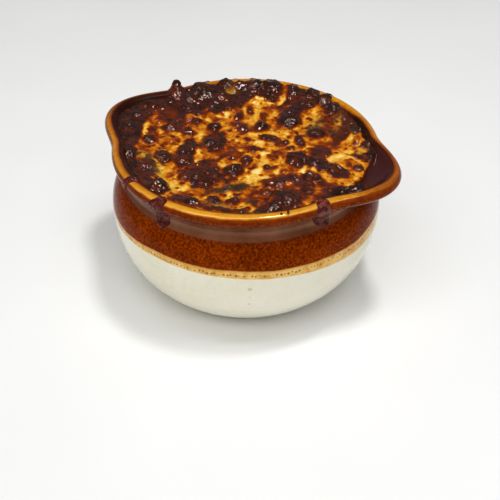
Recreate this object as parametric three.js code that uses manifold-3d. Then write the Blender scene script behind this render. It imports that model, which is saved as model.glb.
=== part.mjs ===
// French onion soup: a stoneware crock with two lug ears, filled with soup under a broiled cheese crust.
// Millimetres, +Z up. The origin is on the surface the foot stands on, on the crock's axis, and the
// ears point along +X and -X.
import * as THREE from "three";
import { mergeVertices } from "three/addons/utils/BufferGeometryUtils.js";
import Module from "manifold-3d";

const wasm = await Module();
wasm.setup();

const rad = THREE.MathUtils.degToRad;
const smooth = (from, to, x) => THREE.MathUtils.smoothstep(x, from, to);

// ---- Driving dimensions ----
const RIM_HEIGHT = 74; // crest of the rolled rim
const ROLL_RADIUS = 2.9; // section of the rolled rim
const RIM_RADIUS = 62.9; // outside of the roll, away from the ears
const EAR_REACH = 75.4; // outside of the roll at an ear's tip
const EAR_HALF_ANGLE = rad(32); // an ear's half width, seen from the axis

// The rim and the crust are laid out on axes of their own, in which the ears point a little past
// +X and -X, and the finished pieces are turned back by this much.
const LAYOUT_TURN = rad(3.7);
const EAR_AXES = [rad(4.7), rad(182.7)]; // where the two ears point in the layout
const FOOT_RADIUS = 39.5;
const FOOT_WIDTH = 3.5;
const FOOT_RECESS = 2; // how far the underside inside the foot ring is raised
const BELLY_RADIUS = 64.8; // widest part of the body
const NECK_RADIUS = 57.3; // waist under the rim
const NECK_HEIGHT = 62.2;
const COVE_RADIUS = 4; // hollow of the neck, which ends in a low ridge on the shoulder
const WALL = 5.5;
const FLOOR_TOP = 6.2; // inside bottom of the crock

// The ears grow out of the wall between these heights, later inside than outside, which leaves a
// dished floor in each ear.
const EAR_OUTSIDE = [61, 69];
const EAR_INSIDE = [63, 72.5];

const SOUP_LEVEL = 66.8;
const CRUST_BOTTOM = 67.2;
const CRUST_LEVEL = 70.6; // top of the cheese between its blisters
const CRUST_RADIUS = 58.6; // before the crock's wall trims it
const HEEL_RISE = 1.4; // how much higher the burnt heel lies along the back of the rim
const WALL_RISE = 1.3; // how far the cheese climbs where it meets the wall
const FREE_EDGE_DROP = 0.8; // how far it sinks at its free edge in the +X ear
const GAP = 0.35; // clearance between touching pieces

const SECTORS = 78; // facets round the crock
const SOUP_SECTORS = 39;
const CRUST_RINGS = 23;
const INSIDE_STEPS = 11; // facets down the inside wall

// ---- Crock ----
const ROLL_CENTRE = new THREE.Vector2(RIM_RADIUS - ROLL_RADIUS, RIM_HEIGHT - ROLL_RADIUS);

function spline(points, count) {
  return new THREE.SplineCurve(points.map(([r, z]) => new THREE.Vector2(r, z))).getPoints(count);
}

function arc(centre, radius, fromDegrees, toDegrees, steps) {
  const points = [];
  for (let i = 0; i <= steps; i++) {
    const a = rad(THREE.MathUtils.lerp(fromDegrees, toDegrees, i / steps));
    points.push(new THREE.Vector2(centre.x + radius * Math.cos(a), centre.y + radius * Math.sin(a)));
  }
  return points;
}

// Foot ring and recessed underside, from the axis outwards.
function footProfile() {
  return [
    [0, FOOT_RECESS],
    [FOOT_RADIUS - FOOT_WIDTH - 1.5, FOOT_RECESS],
    [FOOT_RADIUS - FOOT_WIDTH, 0],
    [FOOT_RADIUS, 0],
  ].map(([r, z]) => new THREE.Vector2(r, z));
}

// Belly and shoulder, up to the ridge where the cove starts.
function bodyProfile() {
  return spline(
    [
      [FOOT_RADIUS + 1.5, 1.2],
      [FOOT_RADIUS + 7.5, 4.5],
      [FOOT_RADIUS + 13.5, 10],
      [BELLY_RADIUS - 5.8, 18.5],
      [BELLY_RADIUS - 1.8, 28.5],
      [BELLY_RADIUS - 0.2, 38.5],
      [BELLY_RADIUS - 0.2, 46.5],
      [BELLY_RADIUS - 1.4, 52],
      [NECK_RADIUS + 4.3, 55.7],
      [NECK_RADIUS + COVE_RADIUS / 2, NECK_HEIGHT - 3.5],
    ],
    13,
  );
}

function coveProfile() {
  const centre = new THREE.Vector2(NECK_RADIUS + COVE_RADIUS, NECK_HEIGHT);
  return arc(centre, COVE_RADIUS, 232, 140, 5);
}

function rollProfile() {
  return arc(ROLL_CENTRE, ROLL_RADIUS, -58, 96, 7);
}

// Inside wall, from the rim's inner slope down to the floor.
function insideProfile() {
  return spline(
    [
      [RIM_RADIUS - 5.6, 73.1],
      [RIM_RADIUS - 7.1, 71.6],
      [NECK_RADIUS - 2.7, 69.2],
      [NECK_RADIUS - 4.3, 66],
      [NECK_RADIUS - WALL + 0.2, NECK_HEIGHT],
      [NECK_RADIUS - WALL + 1.2, 58.5],
      [BELLY_RADIUS - WALL - 1.6, 51.5],
      [BELLY_RADIUS - WALL, 44],
      [BELLY_RADIUS - WALL - 1.8, 29.5],
      [BELLY_RADIUS - WALL - 6.2, 19.5],
      [FOOT_RADIUS + 7, 11.6],
      [FOOT_RADIUS - 1, FLOOR_TOP + 1],
    ],
    INSIDE_STEPS,
  );
}

// How far the rim stands out beyond its round part at a bearing, in millimetres.
function earGrowth(bearing) {
  let growth = 0;
  for (const axis of EAR_AXES) {
    const off = Math.abs(Math.atan2(Math.sin(bearing - axis), Math.cos(bearing - axis)));
    if (off < EAR_HALF_ANGLE) {
      growth += (EAR_REACH - RIM_RADIUS) * 0.5 * (1 + Math.cos((Math.PI * off) / EAR_HALF_ANGLE));
    }
  }
  return growth;
}

// Where a profile point lies at a bearing, once the ears have grown out between two heights.
function warped({ x: radius, y: height }, bearing, [from, to]) {
  const grown = radius + earGrowth(bearing) * smooth(from, to, height);
  return new THREE.Vector3(grown * Math.cos(bearing), grown * Math.sin(bearing), height);
}

// Turns a profile about +Z. earHeights says, for each point of it, where the ears grow out.
function turned(profile, sectors, earHeights) {
  const geometry = new THREE.LatheGeometry(profile, sectors);
  geometry.rotateX(Math.PI / 2);
  const position = geometry.attributes.position;
  for (let i = 0; i < position.count; i++) {
    const index = i % profile.length;
    const point = profile[index];
    if (point.x === 0) continue;
    const bearing = Math.atan2(position.getY(i), position.getX(i));
    const { x, y, z } = warped(point, bearing, earHeights(index));
    position.setXYZ(i, x, y, z);
  }
  return closed(geometry);
}

function crockGeometry() {
  const floor = [
    [FOOT_RADIUS - 10, FLOOR_TOP],
    [0, FLOOR_TOP],
  ].map(([r, z]) => new THREE.Vector2(r, z));
  const outside = [...footProfile(), ...bodyProfile(), ...coveProfile(), ...rollProfile()];
  const profile = [...outside, ...insideProfile(), ...floor];
  return turned(profile, SECTORS, (index) => (index < outside.length ? EAR_OUTSIDE : EAR_INSIDE));
}

// ---- Solids ----
// One closed surface with shared vertices.
function closed(geometry) {
  const bare = geometry.clone();
  bare.deleteAttribute("normal");
  bare.deleteAttribute("uv");
  return mergeVertices(bare, 1e-4);
}

function solidOf(geometry) {
  const merged = closed(geometry);
  return new wasm.Manifold(
    new wasm.Mesh({
      numProp: 3,
      vertProperties: merged.attributes.position.array,
      triVerts: new Uint32Array(merged.index.array),
    }),
  );
}

function geometryOf(solid) {
  const mesh = solid.getMesh();
  const geometry = new THREE.BufferGeometry();
  geometry.setAttribute("position", new THREE.BufferAttribute(mesh.vertProperties, 3));
  geometry.setIndex(new THREE.BufferAttribute(mesh.triVerts, 1));
  geometry.computeVertexNormals();
  return geometry;
}

// The same shape with its skin moved outwards by a clearance.
function grown(geometry, clearance) {
  const shape = geometry.clone();
  shape.computeVertexNormals();
  const { position, normal } = shape.attributes;
  for (let i = 0; i < position.count; i++) {
    position.setXYZ(
      i,
      position.getX(i) + clearance * normal.getX(i),
      position.getY(i) + clearance * normal.getY(i),
      position.getZ(i) + clearance * normal.getZ(i),
    );
  }
  return shape;
}

// ---- Soup ----
function soupGeometry() {
  const clearance = GAP + 0.1;
  const lowest = FLOOR_TOP + 1.6;
  const wall = insideProfile()
    .filter((point) => point.y < SOUP_LEVEL)
    .map((point) => new THREE.Vector2(point.x - clearance, Math.max(point.y, lowest)))
    .reverse();
  const top = new THREE.Vector2(wall[wall.length - 1].x, SOUP_LEVEL);
  const profile = [
    new THREE.Vector2(0, FLOOR_TOP + GAP),
    new THREE.Vector2(FOOT_RADIUS - 11, FLOOR_TOP + GAP),
    ...wall,
    top,
    new THREE.Vector2(0, SOUP_LEVEL),
  ];
  return turned(profile, SOUP_SECTORS, () => EAR_INSIDE);
}

// ---- Cheese crust ----
// Browned blisters that stand out of the cheese: place, radius and height.
const BLISTERS = [
  { x: 7, y: 30, r: 6.6, h: 3.6 },
  { x: 24, y: 25, r: 4.6, h: 2.6 },
  { x: 44, y: 26, r: 3.4, h: 2 },
  { x: 51, y: 28, r: 3.6, h: 2.2 },
  { x: 39, y: 36, r: 4.5, h: 1.6 },
  { x: -1, y: 17, r: 5, h: 2.4 },
  { x: 21, y: 14, r: 3.6, h: 1.4 },
  { x: -22, y: 6.5, r: 3.6, h: 2 },
  { x: -16, y: 21, r: 3.2, h: 1.2 },
  { x: -7, y: 28, r: 2.6, h: 1 },
  { x: 26, y: 0, r: 6.4, h: 1.8 },
  { x: 38, y: 3, r: 5.4, h: 1.6 },
  { x: 37, y: -9, r: 3.6, h: 2.2 },
  { x: 42, y: -10, r: 3.2, h: 2 },
  { x: 6, y: -21.5, r: 5, h: 2.8 },
  { x: 18, y: -12, r: 2.8, h: 1.2 },
  { x: -2, y: -12, r: 3.8, h: 1.4 },
  { x: -11, y: -8, r: 6.5, h: 1.6 },
  { x: -1, y: -32, r: 7.4, h: 2.4 },
  { x: -9, y: -37, r: 3.8, h: 1.8 },
  { x: 37, y: -29, r: 7.2, h: 3 },
  { x: 38, y: -37, r: 5, h: 2.2 },
  { x: 18.5, y: -42, r: 3.2, h: 1.6 },
  { x: -17, y: -48, r: 5.6, h: 2.4 },
  { x: 3.5, y: -51, r: 4, h: 1.8 },
  { x: -20, y: -18, r: 5.6, h: 1.8 },
  { x: -17, y: -26, r: 4.6, h: 1.8 },
  { x: -30, y: -28, r: 4, h: 1.6 },
  { x: -30, y: -37, r: 3.6, h: 1.6 },
  { x: -42, y: -34, r: 4.4, h: 2.4 },
  { x: -33, y: -3, r: 3.6, h: 1.8 },
  { x: -38, y: -14, r: 6, h: 1.4 },
  { x: 60, y: -3, r: 5, h: 2.2 },
  { x: 55, y: -11, r: 5, h: 2.2 },
  { x: 55, y: 19, r: 4, h: 1.8 },
];

// The burnt heel of the crust round the back and in the -X ear: lumps that lean on the wall.
const RIM_LUMPS = [
  { x: 21, y: 51, r: 3.6, h: 1 },
  { x: 14, y: 54.5, r: 4.8, h: 1.9 },
  { x: 6, y: 56.5, r: 4.6, h: 2 },
  { x: 5, y: 48, r: 4.4, h: 1.6 },
  { x: -6, y: 57, r: 4.4, h: 1.7 },
  { x: -16, y: 54, r: 5, h: 2.2 },
  { x: -24, y: 51, r: 4.8, h: 2.3 },
  { x: -31, y: 47, r: 3.6, h: 1.4 },
  { x: -37, y: 43.5, r: 4.8, h: 2.4 },
  { x: -46, y: 34, r: 4.6, h: 2.1 },
  { x: -41, y: 31, r: 4, h: 1.4 },
  { x: -60, y: 8, r: 4.4, h: 1.8 },
  { x: -62, y: -3, r: 4, h: 1.4 },
  { x: -58, y: -15, r: 4.4, h: 1.4 },
];

// A spire of burnt cheese at the back left, as rounded knobs stacked from its foot to its tip.
const SPIRE = [
  { x: -53.4, y: 21.4, z: 71.2, r: 4.6 },
  { x: -54.4, y: 23, z: 73.4, r: 3.2 },
  { x: -55.2, y: 24.4, z: 75.2, r: 2.2 },
  { x: -55.6, y: 25, z: 76.6, r: 1.6 },
];

// How high the dark heel of the crust rises towards the back of the rim.
function heel(x, y) {
  const bearing = Math.atan2(y, x);
  const back = smooth(rad(40), rad(75), bearing) * (1 - smooth(rad(143), rad(169), bearing));
  return HEEL_RISE * back * smooth(34, 54, Math.hypot(x, y));
}

// Low uneven relief between the blisters.
function ripple(x, y) {
  return (
    0.35 * Math.sin(0.55 * x + 0.31 * y) * Math.sin(0.47 * y - 0.2 * x + 1) +
    0.25 * Math.sin(0.93 * x - 0.78 * y + 2) * Math.cos(0.61 * x + 0.87 * y)
  );
}

// How much of a bearing lies in one of the ears, from 0 to 1; side is 1 for +X and -1 for -X.
function inEar(bearing, side) {
  return Math.cos(bearing) * side > 0 ? earGrowth(bearing) / (EAR_REACH - RIM_RADIUS) : 0;
}

// The cheese climbs a little at the wall, and sinks at its free edge in the +X ear.
function edgeLift(x, y) {
  const free = inEar(Math.atan2(y, x), 1);
  return THREE.MathUtils.lerp(WALL_RISE, -FREE_EDGE_DROP, free) * smooth(46, 56, Math.hypot(x, y));
}

function crustHeight(x, y) {
  let height = CRUST_LEVEL + ripple(x, y) + heel(x, y) + edgeLift(x, y);
  for (const b of [...BLISTERS, ...RIM_LUMPS]) {
    const d = Math.hypot(x - b.x, y - b.y) / b.r;
    if (d < 1) height += b.h * Math.sqrt(1 - d * d) * (1 - 0.3 * d);
  }
  return height;
}

// The crust's plan radius: it runs on into the -X ear and stops short of the +X one.
function crustRadius(bearing) {
  return CRUST_RADIUS + 9.6 * inEar(bearing, -1) - 0.6 * inEar(bearing, 1);
}

// A disc of rings with six more points each, its top at the cheese's height and its bottom flat.
function crustSlab() {
  const points = [];
  const faces = [];
  const starts = [];
  for (let ring = 0; ring <= CRUST_RINGS; ring++) {
    starts.push(points.length / 3);
    const count = Math.max(1, 6 * ring);
    for (let k = 0; k < count; k++) {
      const bearing = (2 * Math.PI * k) / count;
      const radius = (crustRadius(bearing) * ring) / CRUST_RINGS;
      const x = radius * Math.cos(bearing);
      const y = radius * Math.sin(bearing);
      points.push(x, y, crustHeight(x, y));
    }
  }
  for (let ring = 1; ring <= CRUST_RINGS; ring++) {
    const inner = Math.max(1, 6 * (ring - 1));
    const outer = 6 * ring;
    for (let side = 0; side < 6; side++) {
      for (let k = 0; k < ring; k++) {
        const a = starts[ring] + side * ring + k;
        const b = starts[ring] + ((side * ring + k + 1) % outer);
        const c = starts[ring - 1] + ((side * (ring - 1) + k) % inner);
        faces.push(a, b, c);
        if (k > 0) faces.push(a, c, starts[ring - 1] + ((side * (ring - 1) + k - 1) % inner));
      }
    }
  }
  const edge = starts[CRUST_RINGS];
  const count = 6 * CRUST_RINGS;
  const base = points.length / 3;
  for (let k = 0; k < count; k++) {
    points.push(points[3 * (edge + k)], points[3 * (edge + k) + 1], CRUST_BOTTOM);
  }
  const centre = points.length / 3;
  points.push(0, 0, CRUST_BOTTOM);
  for (let k = 0; k < count; k++) {
    const next = (k + 1) % count;
    faces.push(edge + k, base + k, base + next, edge + k, base + next, edge + next);
    faces.push(centre, base + next, base + k);
  }
  const geometry = new THREE.BufferGeometry();
  geometry.setAttribute("position", new THREE.Float32BufferAttribute(points, 3));
  geometry.setIndex(faces);
  return geometry;
}

function crustGeometry(crock) {
  let solid = solidOf(crustSlab());
  for (const { x, y, z, r } of SPIRE) {
    const knob = new THREE.IcosahedronGeometry(r, 1);
    knob.scale(1, 1, 1.25);
    knob.translate(x, y, z);
    solid = solid.add(solidOf(knob));
  }
  solid = solid.subtract(solidOf(grown(crock, GAP)));
  return geometryOf(largest(solid));
}

// Trimming can leave loose scraps, which are dropped.
function largest(solid) {
  return solid.decompose().sort((a, b) => b.volume() - a.volume())[0];
}

// ---- Drips ----
// Browned juice that ran over the rim and baked on: bearing where it leaves the cheese and where it
// ends, half width, and the height it reaches.
const DRIPS = [
  { name: "drip_left", from: -96, to: -101, width: 3.2, low: 58.9 },
  { name: "drip_rear_left", from: -119, to: -117, width: 1.8, low: 67.5 },
  { name: "drip_right", from: -30, to: -24, width: 3.4, low: 58.2 },
];
const DRIP_THICKNESS = 1.1;
const DRIP_EDGE = 0.15;
const DRIP_ACROSS = 6;
const DRIP_ALONG = 12;

// The crock's outside from the rim's inner slope, over the roll and down to a height on the neck.
function overTheRim(low) {
  const outside = [...rollProfile().reverse(), ...coveProfile().reverse()];
  const path = new THREE.SplineCurve([insideProfile()[0], ...outside.filter((point) => point.y > low)]);
  return (t) => path.getPointAt(t);
}

// A drip's thickness and width along its run, from 0 to 1: thin where it leaves the rim, with a
// bead near its low end, and rounded off at both ends.
function dripSwell(t) {
  const bead = 0.75 + 0.25 * Math.cos(2.2 * Math.PI * (t - 0.85));
  const ends = 0.1 + 0.9 * Math.sqrt(1 - Math.pow(2 * t - 1, 8));
  return bead * ends;
}

// A drip is a rounded strip that follows the rim, a clearance above it.
function dripGeometry({ from, to, width, low }) {
  const profile = overTheRim(low);
  const step = 1e-3;
  const at = (t, bearing) => warped(profile(THREE.MathUtils.clamp(t, 0, 1)), bearing, EAR_OUTSIDE);
  const lifted = (t, bearing, height) => {
    const along = at(t + step, bearing).sub(at(t - step, bearing));
    const across = at(t, bearing + step).sub(at(t, bearing - step));
    return at(t, bearing).addScaledVector(along.cross(across).normalize(), height);
  };
  const points = [];
  for (const top of [true, false]) {
    for (let i = 0; i <= DRIP_ALONG; i++) {
      const t = i / DRIP_ALONG;
      const middle = rad(THREE.MathUtils.lerp(from, to, t));
      for (let k = 0; k <= DRIP_ACROSS; k++) {
        const u = (2 * k) / DRIP_ACROSS - 1;
        const bearing = middle + (u * width * dripSwell(t)) / RIM_RADIUS;
        const thickness = DRIP_EDGE + DRIP_THICKNESS * dripSwell(t) * (1 - 0.85 * u * u);
        points.push(...lifted(t, bearing, GAP + (top ? thickness : 0)).toArray());
      }
    }
  }
  return shell(points, DRIP_ALONG + 1, DRIP_ACROSS + 1);
}

// Two grids of points, an upper and a lower, closed round their edge.
function shell(points, rows, columns) {
  const faces = [];
  const quad = (a, b, c, d) => faces.push(a, b, c, a, c, d);
  const upper = (i, k) => i * columns + k;
  const lower = (i, k) => (rows + i) * columns + k;
  const right = columns - 1;
  const end = rows - 1;
  for (let i = 0; i < end; i++) {
    for (let k = 0; k < right; k++) {
      quad(upper(i, k), upper(i + 1, k), upper(i + 1, k + 1), upper(i, k + 1));
      quad(lower(i, k), lower(i, k + 1), lower(i + 1, k + 1), lower(i + 1, k));
    }
    quad(upper(i, 0), lower(i, 0), lower(i + 1, 0), upper(i + 1, 0));
    quad(upper(i, right), upper(i + 1, right), lower(i + 1, right), lower(i, right));
  }
  for (let k = 0; k < right; k++) {
    quad(upper(0, k), upper(0, k + 1), lower(0, k + 1), lower(0, k));
    quad(upper(end, k), lower(end, k), lower(end, k + 1), upper(end, k + 1));
  }
  const geometry = new THREE.BufferGeometry();
  geometry.setAttribute("position", new THREE.Float32BufferAttribute(points, 3));
  geometry.setIndex(faces);
  return geometry;
}

// ---- Object ----
function material(colour, roughness) {
  return new THREE.MeshStandardMaterial({ color: colour, roughness, metalness: 0 });
}

const stoneware = material(0x7a3a10, 0.25);
const broth = material(0x4a2008, 0.2);
const cheese = material(0xb87a24, 0.45);
const burntJuice = material(0x3a160c, 0.35);

const group = new THREE.Group();

function place(name, geometry, look) {
  const mesh = new THREE.Mesh(geometry.clone().rotateZ(-LAYOUT_TURN), look);
  mesh.name = name;
  group.add(mesh);
}

const crock = crockGeometry();
place("crock", crock, stoneware);
place("soup", soupGeometry(), broth);
place("cheese_crust", crustGeometry(crock), cheese);
for (const row of DRIPS) place(row.name, dripGeometry(row), burntJuice);

export default group;
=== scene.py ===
# French onion soup in a lug-eared stoneware crock: the looks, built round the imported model.
# Forms are worked out in millimetres and scaled to metres when a mesh is made.
import math

import bmesh
import bpy
import numpy as np
from mathutils import Matrix, Vector


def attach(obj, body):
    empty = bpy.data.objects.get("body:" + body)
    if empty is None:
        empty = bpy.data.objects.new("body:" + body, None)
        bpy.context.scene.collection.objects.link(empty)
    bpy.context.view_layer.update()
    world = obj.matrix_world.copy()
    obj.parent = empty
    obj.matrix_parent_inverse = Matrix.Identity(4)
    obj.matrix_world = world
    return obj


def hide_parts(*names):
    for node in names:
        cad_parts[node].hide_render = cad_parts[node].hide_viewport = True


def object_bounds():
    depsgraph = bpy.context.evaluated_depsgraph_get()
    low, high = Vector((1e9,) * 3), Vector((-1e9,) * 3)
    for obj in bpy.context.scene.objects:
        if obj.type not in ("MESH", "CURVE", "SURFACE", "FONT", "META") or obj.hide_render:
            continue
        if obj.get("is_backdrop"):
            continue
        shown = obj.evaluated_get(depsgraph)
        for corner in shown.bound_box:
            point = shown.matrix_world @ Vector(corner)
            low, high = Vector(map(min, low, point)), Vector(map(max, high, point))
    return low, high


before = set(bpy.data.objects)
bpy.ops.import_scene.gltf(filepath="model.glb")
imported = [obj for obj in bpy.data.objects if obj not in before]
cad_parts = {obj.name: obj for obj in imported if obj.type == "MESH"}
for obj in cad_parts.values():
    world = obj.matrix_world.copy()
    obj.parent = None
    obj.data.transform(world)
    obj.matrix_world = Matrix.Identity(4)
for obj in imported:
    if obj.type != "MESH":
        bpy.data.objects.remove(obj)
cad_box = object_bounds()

MM = 0.001

# ---- Crock sizes, as in the part's source ----
RIM_HEIGHT = 74.0
ROLL_RADIUS = 2.9
RIM_RADIUS = 62.9
EAR_REACH = 75.15
EAR_HALF_ANGLE = math.radians(32)
# All forms are laid out with the ears at EAR_AXES, and every bearing below is meant so. Each piece is
# then turned back by LAYOUT_TURN, which brings the ears onto X.
LAYOUT_TURN = math.radians(3.7)
EAR_AXES = (math.radians(4.7), math.radians(182.7))
FOOT_RADIUS = 39.5
FOOT_WIDTH = 3.5
FOOT_RECESS = 2.0
BELLY_RADIUS = 64.8
NECK_RADIUS = 57.3
NECK_HEIGHT = 62.2
COVE_RADIUS = 4.0
WALL = 5.5
FLOOR_TOP = 6.2
# Heights between which the ears grow out of the round wall.
EAR_OUTSIDE = (61.0, 69.0)
EAR_INSIDE = (63.0, 72.5)

# The amber of the rim by bearing in degrees: where it starts outside and ends inside the crest, in
# millimetres from it, and how clear it is, from 0, burnt brown, to 1, bright amber.
RIM_AMBER = [
    (-180, -1.4, 0, 0.1), (-172, -1.4, 0, 0.4), (-166, -1.8, 0, 0.75), (-150, -2.1, -0.3, 0.9),
    (-135, -2.1, -0.3, 0.92), (-124, -2.1, -0.2, 0.92), (-112, -2, 0.2, 0.95), (-102, -2, 0.9, 0.98),
    (-90, -2, 1.2, 1), (-78, -1.9, 1.8, 1), (-60, -1.9, 1.8, 0.95), (-46, -1.9, 1.6, 0.95),
    (-38, -1.9, 0.8, 0.95), (-30, -1.9, 1.2, 1), (-24, -1.6, 4, 0.95), (-14, -1.5, 4.4, 0.85),
    (-6, -1.2, 2.6, 0.6), (2, -1.6, 1, 0.5), (12, -2, -0.4, 0.5), (22, -2, -0.6, 0.5),
    (28, -2.4, -0.4, 0.85), (34, -2.6, 0, 0.9), (48, -2.6, 0.2, 0.88), (58, -2.4, 1.4, 0.9),
    (70, -2.3, 2.2, 0.9), (92, -2.1, 2.4, 0.88), (130, -2.1, 2.2, 0.8), (142, -2, 1.2, 0.7),
    (149, -2, 0.4, 0.5), (154, -1.6, 0.2, 0.1), (180, -1.4, 0, 0.1),
]

# The caramel band by bearing in degrees: heights of its upper line, to the brown glaze, and of its
# lower line, to the cream one.
BAND = [
    (-180, 46.4, 42.6), (-150, 45.6, 42.6), (-130, 45.5, 43.0), (-118, 45.9, 43.5), (-108, 46.9, 44.1),
    (-98, 47.8, 44.5), (-88, 47.6, 44.2), (-72, 47.5, 43.7), (-60, 47.4, 43.2), (-50, 46.8, 42.7),
    (-40, 46.9, 42.3), (-30, 46.7, 41.6), (-20, 46.4, 40.6), (-10, 45.9, 40.0), (0, 46.4, 40.2),
    (30, 46.8, 41.2), (90, 47.2, 42.6), (140, 46.9, 42.8), (180, 46.4, 42.6),
]
# The row of pinholes in the band: how far below its upper line, and their spacing.
PINHOLE_DROP = 2.3
PINHOLE_STEP = 1.8

# Faint yellow stains on the cream glaze, placed in the part's frame: place, radius and strength.
STAINS = [
    ((30.1, -57.0, 37.2), 1.4, 0.5),
    ((28.9, -55.4, 26.9), 0.9, 0.45),
    ((29.7, -56.4, 32.2), 0.8, 0.25),
]

# ---- Crust sizes ----
CRUST_BOTTOM = 67.2
CRUST_LEVEL = 70.6
HEEL_RISE = 1.4
WALL_RISE = 1.3
FREE_EDGE_DROP = 0.8
# The cheese meets the wall at this height. It reaches this radius over the back of the rim.
WALL_MEETING = 72.2
BACK_EDGE = 61.6
# In the -X ear the cheese ends at LEFT_EDGE, further out by LEFT_REACH along the ear's axis, and by
# LEFT_NEAR_REACH more at its near side.
LEFT_EDGE = 57.2
LEFT_REACH = 10.4
LEFT_NEAR_REACH = 3.5
# In the +X ear the cheese ends freely at FREE_EDGE. EDGE_LOBES says where it runs further out: bearing
# and spread in degrees, and how far.
FREE_EDGE = 57.6
EDGE_LOBES = [(-6.4, 3.4, 7.6), (-13, 6, 3.6), (22, 7, 2.6)]
# Thickness of the cheese that climbs the wall there.
CLIMB = 0.9
# Share of an ear's growth over which the cheese changes from the round wall's shape to the +X ear's.
EAR_BLEND = (0.02, 0.2)
SKIRT_INSET = 0.6
WALL_GAP = 0.35
CRUST_STEPS = 300

# The small bubbles of the cheese: how many, their radii, their rise as a part of the radius where the
# cheese is dark and where it is pale, and the share of them that browned. CELL is the grid in which a
# bubble looks for the crust's points near it.
BUBBLES = 1900
BUBBLE_SIZES = (0.5, 1.5)
DARK_BUBBLE_RISE = 0.26
PALE_BUBBLE_RISE = 0.1
BROWNED_SHARE = 0.4
CELL = 4

# ---- Camera ----
EARS_TURN = 26.55
CAMERA_DISTANCE = 0.36263
CAMERA_HEIGHT = 0.29626
CAMERA_PITCH = 38.473
CAMERA_YAW = 0.295
LENS = 64.83


# ---- Small helpers ----
def smooth(low, high, x):
    t = np.clip((np.asarray(x, float) - low) / (high - low), 0, 1)
    return t * t * (3 - 2 * t)


def mix(a, b, t):
    return a + (b - a) * t


def spline(points, steps):
    """Points on a Catmull-Rom curve through the given ones, at even parameters."""
    p = np.array(points, float)
    last = len(p) - 1
    out = []
    for i in range(steps + 1):
        t = i * last / steps
        k = min(int(t), last - 1)
        w = t - k
        a, b, c, d = (p[min(max(j, 0), last)] for j in (k - 1, k, k + 1, k + 2))
        v0, v1 = (c - a) / 2, (d - b) / 2
        out.append((2 * b - 2 * c + v0 + v1) * w**3 + (-3 * b + 3 * c - 2 * v0 - v1) * w * w + v0 * w + b)
    return out


def arc(centre, radius, start, end, steps):
    angles = np.radians(np.linspace(start, end, steps + 1))
    return [np.array((centre[0] + radius * math.cos(a), centre[1] + radius * math.sin(a))) for a in angles]


def lattice_noise(x, y, size, seed):
    """Smooth noise from -1 to 1 on a seeded square lattice with cells of the given size."""
    table = np.random.RandomState(seed).uniform(-1, 1, (64, 64))
    u, v = np.asarray(x) / size + 0.37 * seed, np.asarray(y) / size - 0.61 * seed
    i, j = np.floor(u).astype(int), np.floor(v).astype(int)
    a, b = smooth(0, 1, u - i), smooth(0, 1, v - j)
    corner = lambda di, dj: table[(i + di) % 64, (j + dj) % 64]
    low = mix(corner(0, 0), corner(1, 0), a)
    high = mix(corner(0, 1), corner(1, 1), a)
    return mix(low, high, b)


def cloud(x, y, size, seed, octaves=3):
    """Lattice noise with finer, fainter layers on top, turned so that no grid shows."""
    total = np.zeros_like(np.asarray(x, float))
    weight = 1.0
    for k in range(octaves):
        turn = 0.6 + 1.3 * k
        u = math.cos(turn) * x - math.sin(turn) * y
        v = math.sin(turn) * x + math.cos(turn) * y
        total = total + weight * lattice_noise(u, v, size / 2**k, seed + 17 * k)
        weight *= 0.55
    return total


# ---- Crock form ----
ROLL_CENTRE = (RIM_RADIUS - ROLL_RADIUS, RIM_HEIGHT - ROLL_RADIUS)


def foot_profile():
    inner = FOOT_RADIUS - FOOT_WIDTH
    recess = [(0, FOOT_RECESS), (inner - 1.5, FOOT_RECESS), (inner, 0.15)]
    ring = [(inner + 0.4, 0), (FOOT_RADIUS - 0.3, 0), (FOOT_RADIUS, 0.2)]
    return [np.array(point, float) for point in recess + ring]


def body_profile():
    return spline(
        [
            (FOOT_RADIUS + 1.5, 1.2),
            (FOOT_RADIUS + 7.5, 4.5),
            (FOOT_RADIUS + 13.5, 10),
            (BELLY_RADIUS - 5.8, 18.5),
            (BELLY_RADIUS - 1.8, 28.5),
            (BELLY_RADIUS - 0.2, 38.5),
            (BELLY_RADIUS - 0.2, 46.5),
            (BELLY_RADIUS - 1.4, 52),
            (NECK_RADIUS + 4.3, 55.7),
            (NECK_RADIUS + COVE_RADIUS / 2, NECK_HEIGHT - 3.5),
        ],
        42,
    )


def cove_profile():
    return arc((NECK_RADIUS + COVE_RADIUS, NECK_HEIGHT), COVE_RADIUS, 232, 140, 12)


def roll_profile():
    return arc(ROLL_CENTRE, ROLL_RADIUS, -58, 96, 18)


def inside_profile():
    return spline(
        [
            (RIM_RADIUS - 5.6, 73.1),
            (RIM_RADIUS - 7.1, 71.6),
            (NECK_RADIUS - 2.7, 69.2),
            (NECK_RADIUS - 4.3, 66),
            (NECK_RADIUS - WALL + 0.2, NECK_HEIGHT),
            (NECK_RADIUS - WALL + 1.2, 58.5),
            (BELLY_RADIUS - WALL - 1.6, 51.5),
            (BELLY_RADIUS - WALL, 44),
            (BELLY_RADIUS - WALL - 1.8, 29.5),
            (BELLY_RADIUS - WALL - 6.2, 19.5),
            (FOOT_RADIUS + 7, 11.6),
            (FOOT_RADIUS - 1, FLOOR_TOP + 1),
        ],
        44,
    )


def ear_growth(bearing):
    """How far the rim stands out beyond its round part at a bearing."""
    growth = 0
    for axis in EAR_AXES:
        off = np.abs(np.arctan2(np.sin(bearing - axis), np.cos(bearing - axis)))
        swell = 0.5 * (1 + np.cos(np.pi * np.minimum(off / EAR_HALF_ANGLE, 1)))
        growth = growth + (EAR_REACH - RIM_RADIUS) * swell
    return growth


def in_ear(bearing, side):
    """How much of a bearing lies in the ear on the given side, from 0 to 1."""
    return np.where(np.cos(bearing) * side > 0, ear_growth(bearing) / (EAR_REACH - RIM_RADIUS), 0)


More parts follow.
